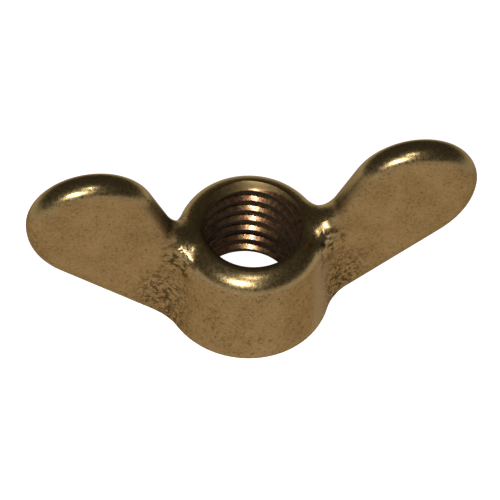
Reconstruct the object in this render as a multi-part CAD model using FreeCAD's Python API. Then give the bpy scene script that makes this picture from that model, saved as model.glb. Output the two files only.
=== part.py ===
import FreeCAD, Part
import math
import os

V = FreeCAD.Vector

# One-piece cast wing nut with an M10 x 1.5 thread. Millimetres.
# Origin: centre of the round bearing face, on the thread axis.
# +Z runs up the thread axis to the wing tips, X along the wing span, Y through the wing thickness.

# tapered hub
HUB_HEIGHT = 10.1
BASE_RADIUS = 7.7
TOP_RADIUS = 6.4             # where the tapered side would meet the top plane
RIM_ROUND = 2.2
BASE_BREAK = 0.25            # softened edge round the bearing face

# wings: flat slabs with all but fully round edges
WING_THICKNESS = 2.7
WING_ROUND = 1.33
LOBE_X = 14.4
LOBE_Z = 13.5
LOBE_RADIUS = 5.8            # upper, inner part of the lobe
HEEL_RADIUS = 8.2            # fuller outer, lower part of the lobe
RISE_ANGLE = 65.5            # slope of the inner edge climbing from the hub to the lobe
UNDER_ANGLE = 42.3           # slope of the straight lower edge
WING_ROOT_X = 3.0            # buried end of the wing blank, cleared by the bore
ROOT_BLEND = 4.0             # concave blend all round the wing root

# M10 x 1.5 internal thread
PITCH = 1.5
CREST_RADIUS = 4.25          # minor radius, the inner face of the thread
THREAD_DEPTH = 0.79
CREST_WIDTH = PITCH / 4
THREAD_PHASE = 0.755         # height of the groove centre on the +X side, modulo one pitch
MOUTH_DEPTH = 0.4            # 45 degree countersink at the upper end
MOUTH_ROUND = 0.7
LOWER_CHAMFER = 0.2
SECTORS = 6

FLANK = math.tan(math.radians(30))


def polar(cx, cz, radius, degrees):
    a = math.radians(degrees)
    return V(cx + radius * math.cos(a), 0, cz + radius * math.sin(a))


def line(a, b):
    return Part.LineSegment(a, b).toShape()


def arc(cx, cz, radius, start, end):
    middle = polar(cx, cz, radius, (start + end) / 2)
    return Part.Arc(polar(cx, cz, radius, start), middle, polar(cx, cz, radius, end)).toShape()


def middle_of(edge):
    return edge.valueAt((edge.FirstParameter + edge.LastParameter) / 2)


def hub_blank():
    """Tapered hub with a rounded rim, continued below the bearing face so the root blend has room."""
    spare = 8.0
    spread = (BASE_RADIUS - TOP_RADIUS) / HUB_HEIGHT * spare
    cone = Part.makeCone(BASE_RADIUS + spread, TOP_RADIUS, HUB_HEIGHT + spare, V(0, 0, -spare), V(0, 0, 1))
    cone.rotate(V(0, 0, 0), V(0, 0, 1), 90)
    rim = [e for e in cone.Edges if e.BoundBox.ZMin > HUB_HEIGHT - 0.01]
    return cone.makeFillet(RIM_ROUND, rim)


def wing_outline():
    """Side view of the +X wing: steep inner edge, round lobe, straight lower edge down to the base."""
    heel_x = LOBE_X + LOBE_RADIUS - HEEL_RADIUS
    rise_top = polar(LOBE_X, LOBE_Z, LOBE_RADIUS, 90 + RISE_ANGLE)
    under_top = polar(heel_x, LOBE_Z, HEEL_RADIUS, UNDER_ANGLE - 90)
    root_top_z = HUB_HEIGHT - 2 * RIM_ROUND
    root_top = V(rise_top.x - (rise_top.z - root_top_z) / math.tan(math.radians(RISE_ANGLE)), 0, root_top_z)
    root_low_z = under_top.z - (under_top.x - WING_ROOT_X) * math.tan(math.radians(UNDER_ANGLE))
    root_low = V(WING_ROOT_X, 0, root_low_z)
    root_high = V(WING_ROOT_X, 0, root_top_z)
    return Part.Wire([
        line(root_top, rise_top),
        arc(LOBE_X, LOBE_Z, LOBE_RADIUS, 90 + RISE_ANGLE, 0),
        arc(heel_x, LOBE_Z, HEEL_RADIUS, 0, UNDER_ANGLE - 90),
        line(under_top, root_low),
        line(root_low, root_high),
        line(root_high, root_top),
    ])


def wing_blank():
    face = Part.Face(wing_outline())
    face.translate(V(0, -WING_THICKNESS / 2, 0))
    slab = face.extrude(V(0, WING_THICKNESS, 0))
    edges = []
    for edge in slab.Edges:
        box = edge.BoundBox
        on_a_face = box.YLength < 0.001
        if on_a_face and box.XLength > 0.001:
            edges.append(edge)
    return slab.makeFillet(WING_ROUND, edges)


def root_edges(body, hub, wing):
    """Edges where the surface of the hub meets the surface of a wing."""
    found = []
    for edge in body.Edges:
        point = Part.Vertex(middle_of(edge))
        on_hub = hub.Shells[0].distToShape(point)[0] < 0.001
        on_wing = wing.Shells[0].distToShape(point)[0] < 0.001
        if on_hub and on_wing:
            found.append(edge)
    return found


def casting():
    """Hub and both wings in one piece, blended at the roots and cut flat at the bearing face."""
    hub = hub_blank()
    right = wing_blank()
    wings = [right, right.mirror(V(0, 0, 0), V(1, 0, 0))]
    body = hub.fuse(wings).removeSplitter()
    roots = root_edges(body, hub, wings[0]) + root_edges(body, hub, wings[1])
    body = body.makeFillet(ROOT_BLEND, roots)
    body = body.cut(Part.makeBox(60, 40, 10, V(-30, -20, -10)))
    base = [e for e in body.Edges if e.BoundBox.ZMax < 0.001]
    return body.makeFillet(BASE_BREAK, base)


def mouth_edges(body):
    """Upper edges of the countersink, where its cone leaves the rim."""
    found = []
    for edge in body.Edges:
        middle = middle_of(edge)
        height_on_cone = HUB_HEIGHT - MOUTH_DEPTH + math.hypot(middle.x, middle.y) - CREST_RADIUS
        if abs(middle.z - height_on_cone) < 0.001 and middle.z > HUB_HEIGHT - MOUTH_DEPTH / 2:
            found.append(edge)
    return found


def lower_edges(body):
    """Edges of the plain bore in the bearing face."""
    found = []
    for edge in body.Edges:
        middle = middle_of(edge)
        if abs(middle.z) < 0.001 and abs(math.hypot(middle.x, middle.y) - CREST_RADIUS) < 0.001:
            found.append(edge)
    return found


def bored(body):
    """Plain hole at the minor diameter, cut in sectors, with a countersunk mouth and a small lower chamfer."""
    reach = MOUTH_DEPTH + 2
    low = V(0, 0, HUB_HEIGHT - MOUTH_DEPTH)
    body = body.cut(Part.makeCone(CREST_RADIUS, CREST_RADIUS + reach, reach, low, V(0, 0, 1)))
    body = body.makeFillet(MOUTH_ROUND, mouth_edges(body))
    angle = 360 / SECTORS
    for k in range(SECTORS):
        sector = Part.makeCylinder(CREST_RADIUS, HUB_HEIGHT + 2, V(0, 0, -1), V(0, 0, 1), angle)
        sector.rotate(V(0, 0, 0), V(0, 0, 1), k * angle)
        body = body.cut(sector)
    return body.makeChamfer(LOWER_CHAMFER, lower_edges(body))


def thread_cutter():
    """Right-hand helical groove with 60 degree flanks, joined to a core that fills the bore."""
    overlap = 0.25
    start = THREAD_PHASE - 2 * PITCH
    inner = CREST_RADIUS - overlap
    outer = CREST_RADIUS + THREAD_DEPTH
    inner_half = (PITCH - CREST_WIDTH) / 2 + overlap * FLANK
    outer_half = (PITCH - CREST_WIDTH) / 2 - THREAD_DEPTH * FLANK
    corners = [
        V(inner, 0, start + inner_half),
        V(outer, 0, start + outer_half),
        V(outer, 0, start - outer_half),
        V(inner, 0, start - inner_half),
    ]
    profile = Part.makePolygon(corners + corners[:1])
    helix = Part.makeHelix(PITCH, HUB_HEIGHT + 2.5 * PITCH, CREST_RADIUS)
    helix.translate(V(0, 0, start))
    groove = Part.Wire(helix.Edges).makePipeShell([profile], True, True)
    core = Part.makeCylinder(CREST_RADIUS, HUB_HEIGHT + 6, V(0, 0, -3))
    return core.fuse(groove)


def wing_nut():
    return bored(casting()).cut(thread_cutter())


os.makedirs("parts", exist_ok=True)
nut = wing_nut()
if not nut.isValid() or len(nut.Solids) != 1:
    raise RuntimeError("the wing nut is not one valid solid")
nut.Solids[0].exportStep("parts/wing_nut.step")
print("wing_nut %.0f mm3" % nut.Volume)
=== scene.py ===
import math

import bpy
from mathutils import Matrix, Vector

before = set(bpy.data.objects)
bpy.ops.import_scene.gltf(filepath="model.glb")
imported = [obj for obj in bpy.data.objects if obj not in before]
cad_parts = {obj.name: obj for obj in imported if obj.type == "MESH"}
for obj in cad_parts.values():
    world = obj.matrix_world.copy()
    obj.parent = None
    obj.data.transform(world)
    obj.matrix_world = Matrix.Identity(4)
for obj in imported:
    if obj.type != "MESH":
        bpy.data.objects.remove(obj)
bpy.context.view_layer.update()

# camera: degrees, metres, and millimetres of lens on a 36 mm sensor
AZIMUTH = -13.4
ELEVATION = 54.4
ROLL = 4.7
DISTANCE = 0.279
SENSOR = 36
LENS = 222.0447
SHIFT_X = 0.0024
SHIFT_Y = 0.0156
LOOK_HEIGHT = 0.0051            # middle of the hub

# lamps and room
LAMP_DISTANCE = 1.0
LAMP_TARGET = 2 * LOOK_HEIGHT   # top of the hub
ROOM_COLOUR = (1, 0.97, 0.92, 1)
ROOM_STRENGTH = 0.09

# floor, in metres: glows evenly as far as POOL_INNER and has dimmed to FAR_GLOW at POOL_OUTER
FLOOR_HALF = 1.5
FLOOR_DROP = 0.00002
FLOOR_COLOUR = (0.6, 0.6, 0.6, 1)
POOL_INNER = 0.04
POOL_OUTER = 0.12
FAR_GLOW = 0.25

# zones of the surface, in millimetres; a band fades in between its first two values
# and out between its last two
CREST_RADIUS = (4.26, 4.30)
THREAD_RADIUS = (5.1, 5.15)
MOUTH_RADIUS = (4.6, 5.5)
MOUTH_START = (9.55, 9.7)
ROOT_REACH = (5.5, 7.6, 8.4, 12.0)
ROOT_HEIGHT = (4.0, 8.5)
NECK_REACH = (5.4, 6.4, 7.6, 8.8)
NECK_HEIGHT = (6.4, 7.6, 9.6, 10.6)
# painted light: the band across the hub that holds the lighter streak down its right side
PAINTED_LIGHT_ACROSS = (4.6, 5.6, 6.0, 7.4)
UPRIGHT = (0.2, 0.6)            # how far a side may tip before it counts as an edge

# colours of the metal, and the painted shade and painted light laid on it
TAN_DARK = (0.126, 0.074, 0.027, 1)
TAN_LIGHT = (0.185, 0.114, 0.045, 1)
TAN_GRAIN = (0.25, 0.165, 0.08, 1)
SPECK = (0.065, 0.036, 0.012, 1)
PIT = (0.04, 0.024, 0.01, 1)
# painted light: a lighter, greyer streak down the right of the hub, where the light falls
PAINTED_LIGHT_STREAK = (0.27, 0.19, 0.11, 1)
POLISHED_DARK = (0.235, 0.165, 0.07, 1)
POLISHED_LIGHT = (0.29, 0.21, 0.10, 1)
# painted shade: dark patches laid in the necks, where the wing ridges run into the hub rim
NECK_PAINTED_SHADE = (0.05, 0.032, 0.012, 1)
# painted shade: darkening of the rounded mouth of the bore
MOUTH_PAINTED_SHADE = (0.09, 0.06, 0.02, 1)
COPPER = (0.17, 0.068, 0.034, 1)
GOLD = (0.3, 0.18, 0.08, 1)
# painted shade: a dark, nearly non-metal colour on the thread crests, standing in for the dark they
# reflect
CREST_PAINTED_SHADE = (0.02, 0.013, 0.008, 1)
EDGE_TINT = (0.5, 0.46, 0.42, 1)


def toward(azimuth, elevation):
    """Unit vector to where azimuth 0 is in front of the nut and grows to its right."""
    a = math.radians(azimuth)
    e = math.radians(elevation)
    return Vector((math.sin(a) * math.cos(e), -math.cos(a) * math.cos(e), math.sin(e)))


def add_object(name, data):
    thing = bpy.data.objects.new(name, data)
    bpy.context.scene.collection.objects.link(thing)
    return thing


def make_camera():
    data = bpy.data.cameras.new("camera")
    data.sensor_width = SENSOR
    data.lens = LENS
    data.shift_x = SHIFT_X
    data.shift_y = SHIFT_Y
    data.clip_start = 0.01
    data.clip_end = 20
    camera = add_object("camera", data)

    back = toward(AZIMUTH, ELEVATION)
    level = toward(AZIMUTH + 90, 0)
    above = back.cross(level)
    roll = math.radians(ROLL)
    right = math.cos(roll) * level + math.sin(roll) * above
    up = math.cos(roll) * above - math.sin(roll) * level
    place = Vector((0, 0, LOOK_HEIGHT)) + back * DISTANCE
    turn = Matrix((right, up, back)).transposed().to_4x4()
    camera.matrix_world = Matrix.Translation(place) @ turn
    bpy.context.scene.camera = camera


class Graph:
    """A material's node tree. An input is another node's socket or a plain value."""

    def __init__(self, name):
        self.material = bpy.data.materials.new(name)
        self.material.use_nodes = True
        self.tree = self.material.node_tree
        self.tree.nodes.clear()

    def node(self, kind, inputs, **settings):
        node = self.tree.nodes.new(kind)
        for name, value in settings.items():
            setattr(node, name, value)
        for key, value in inputs.items():
            if isinstance(value, bpy.types.NodeSocket):
                self.tree.links.new(value, node.inputs[key])
            else:
                node.inputs[key].default_value = value
        return node

    def math(self, operation, a, b=0.0):
        return self.node("ShaderNodeMath", {0: a, 1: b}, operation=operation).outputs[0]

    def times(self, a, b):
        return self.math("MULTIPLY", a, b)

    def inverse(self, share):
        return self.math("SUBTRACT", 1.0, share)

    def rise(self, value, low, high):
        """0 below low, 1 above high, smooth between."""
        inputs = {"Value": value, "From Min": low, "From Max": high}
        return self.node("ShaderNodeMapRange", inputs, interpolation_type="SMOOTHSTEP").outputs[0]

    def fall(self, value, low, high):
        """1 below low, 0 above high, smooth between."""
        return self.inverse(self.rise(value, low, high))

    def band(self, value, low, full_low, full_high, high):
        """1 from full_low to full_high, 0 below low and above high, smooth between."""
        return self.times(self.rise(value, low, full_low), self.fall(value, full_high, high))

    def scaled(self, value, low, high, to_low=0.0, to_high=1.0):
        """The range low to high, mapped to to_low to to_high and clamped there."""
        inputs = {"Value": value, "From Min": low, "From Max": high, "To Min": to_low, "To Max": to_high}
        return self.node("ShaderNodeMapRange", inputs).outputs[0]

    def noise(self, vector, size, detail=2.0, roughness=0.5):
        """Noise whose features are about size long, in the vector's unit."""
        inputs = {"Vector": vector, "Scale": 1 / size, "Detail": detail, "Roughness": roughness}
        return self.node("ShaderNodeTexNoise", inputs).outputs[0]

    def blend(self, share, a, b):
        """Colour a where share is 0, colour b where it is 1."""
        return self.node("ShaderNodeMix", {0: share, 6: a, 7: b}, data_type="RGBA").outputs[2]

    def bump(self, height, depth, normal=None):
        """A bump depth millimetres deep, on top of the one in normal."""
        inputs = {"Height": height, "Strength": 1.0, "Distance": depth / 1000}
        if normal:
            inputs["Normal"] = normal
        return self.node("ShaderNodeBump", inputs).outputs[0]

    def place(self):
        return self.node("ShaderNodeTexCoord", {}).outputs["Object"]

    def split(self, vector):
        return self.node("ShaderNodeSeparateXYZ", {0: vector}).outputs

    def finish(self, inputs):
        shader = self.node("ShaderNodeBsdfPrincipled", inputs)
        self.node("ShaderNodeOutputMaterial", {"Surface": shader.outputs[0]})
        return self.material


def zones(g, mm):
    """The share, from 0 to 1, that each kind of surface has at a place."""
    x, y, z = g.split(mm)
    radius = g.math("SQRT", g.math("ADD", g.times(x, x), g.times(y, y)))
    reach = g.math("ABSOLUTE", x)
    normal = g.node("ShaderNodeNewGeometry", {}).outputs["Normal"]
    thread = g.times(g.fall(radius, *THREAD_RADIUS), g.fall(z, *MOUTH_START))
    return {
        "side": g.fall(g.math("ABSOLUTE", g.split(normal)[2]), *UPRIGHT),
        "thread": thread,
        "crest": g.times(thread, g.fall(radius, *CREST_RADIUS)),
        "mouth": g.times(g.fall(radius, *MOUTH_RADIUS), g.rise(z, *MOUTH_START)),
        "root": g.times(g.band(reach, *ROOT_REACH), g.fall(z, *ROOT_HEIGHT)),
        "neck": g.times(g.band(reach, *NECK_REACH), g.band(z, *NECK_HEIGHT)),
        "painted_light": g.band(x, *PAINTED_LIGHT_ACROSS),
    }


def bronze():
    """Tumbled casting: speckled tan sides, polished edges, reddish thread; painted shade on the thread
    crests, in the necks and in the mouth, and a painted light streak down the right of the hub.
    """
    g = Graph("bronze")
    to_mm = {0: g.place(), "Scale": 1000}
    mm = g.node("ShaderNodeVectorMath", to_mm, operation="SCALE").outputs[0]
    zone = zones(g, mm)

    # mottling and grain
    cloud = g.scaled(g.noise(mm, 2.2, detail=3.0), 0.3, 0.7)
    grain = g.noise(mm, 0.26, roughness=0.6)
    fine = g.noise(mm, 0.11, detail=1.0)
    specks = g.rise(g.noise(mm, 0.34, roughness=0.65), 0.56, 0.70)
    rough_spots = g.rise(g.noise(mm, 0.42, detail=3.0, roughness=0.7), 0.47, 0.60)
    pits = g.times(rough_spots, zone["root"])
    # patchy mask of the painted shade in the necks
    neck_shade = g.times(zone["neck"], g.rise(g.noise(mm, 0.7), 0.5, 0.6))
    heat = g.scaled(g.noise(mm, 0.5, detail=3.0), 0.35, 0.65)
    crinkle = g.times(g.noise(mm, 1.0, roughness=0.45), zone["neck"])

    tan = g.blend(cloud, TAN_DARK, TAN_LIGHT)
    tan = g.blend(g.scaled(grain, 0.35, 0.7, to_high=0.6), tan, TAN_GRAIN)
    tan = g.blend(g.times(specks, 0.65), tan, SPECK)
    tan = g.blend(g.times(pits, 0.85), tan, PIT)
    # painted light: a lighter, greyer streak down the right of the hub
    tan = g.blend(g.times(zone["painted_light"], 0.4), tan, PAINTED_LIGHT_STREAK)
    polished = g.blend(g.scaled(grain, 0.35, 0.65), POLISHED_DARK, POLISHED_LIGHT)
    colour = g.blend(zone["side"], polished, tan)
    # painted shade in the necks
    colour = g.blend(neck_shade, colour, NECK_PAINTED_SHADE)
    # painted shade in the mouth of the bore
    colour = g.blend(g.times(zone["mouth"], 0.6), colour, MOUTH_PAINTED_SHADE)
    colour = g.blend(zone["thread"], colour, g.blend(heat, COPPER, GOLD))
    # painted shade on the thread crests
    colour = g.blend(zone["crest"], colour, CREST_PAINTED_SHADE)

    roughness = g.scaled(grain, 0.3, 0.7, 0.24, 0.34)
    rougher_by = (
        (zone["side"], 0.12),
        (pits, 0.2),
        (zone["mouth"], 0.14),
        (zone["thread"], -0.05),
        (zone["crest"], 0.3),
    )
    for share, amount in rougher_by:
        roughness = g.math("ADD", roughness, g.times(share, amount))

    surface = g.bump(crinkle, 0.38)
    surface = g.bump(grain, 0.008, surface)
    surface = g.bump(fine, 0.004, surface)
    surface = g.bump(g.times(pits, -1.0), 0.03, surface)

    flanks = g.math("SUBTRACT", zone["thread"], zone["crest"])
    return g.finish({
        "Base Color": colour,
        # the crests are made nearly non-metal as part of their painted shade
        "Metallic": g.inverse(g.times(zone["crest"], 0.95)),
        "Roughness": roughness,
        "Specular IOR Level": 0.06,
        "Specular Tint": EDGE_TINT,
        "Normal": surface,
        "Coat Weight": g.times(flanks, 0.3),
        "Coat Roughness": 0.13,
    })


def white_floor():
    g = Graph("white_floor")
    far = g.node("ShaderNodeVectorMath", {0: g.place()}, operation="LENGTH").outputs["Value"]
    material = g.finish({
        "Base Color": FLOOR_COLOUR,
        "Roughness": 0.9,
        "Emission Color": (1, 1, 1, 1),
        "Emission Strength": g.scaled(g.rise(far, POOL_INNER, POOL_OUTER), 0.0, 1.0, 1.0, FAR_GLOW),
    })

    mesh = bpy.data.meshes.new("floor")
    signs = ((-1, -1), (1, -1), (1, 1), (-1, 1))
    corners = [(x * FLOOR_HALF, y * FLOOR_HALF, 0) for x, y in signs]
    mesh.from_pydata(corners, [], [(0, 1, 2, 3)])
    mesh.materials.append(material)
    floor = add_object("floor", mesh)
    floor.location.z = -FLOOR_DROP


def soft_lamp(name, azimuth, elevation, width, height, energy):
    data = bpy.data.lights.new(name, "AREA")
    data.shape = "ELLIPSE"
    data.size = width
    data.size_y = height
    data.energy = energy
    lamp = add_object(name, data)
    back = toward(azimuth, elevation)
    lamp.location = Vector((0, 0, LAMP_TARGET)) + back * LAMP_DISTANCE
    lamp.rotation_euler = back.to_track_quat("Z", "Y").to_euler()


def dim_room():
    world = bpy.data.worlds.new("world")
    world.use_nodes = True
    background = world.node_tree.nodes["Background"]
    background.inputs["Color"].default_value = ROOM_COLOUR
    background.inputs["Strength"].default_value = ROOM_STRENGTH
    bpy.context.scene.world = world


cast_bronze = bronze()
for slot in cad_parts["wing_nut"].material_slots:
    slot.material = cast_bronze
white_floor()
make_camera()
dim_room()
soft_lamp("key", azimuth=-24, elevation=36, width=0.34, height=0.14, energy=9)
soft_lamp("upper", azimuth=-4, elevation=65, width=0.06, height=0.06, energy=1.5)
bpy.context.scene.view_settings.view_transform = "Standard"
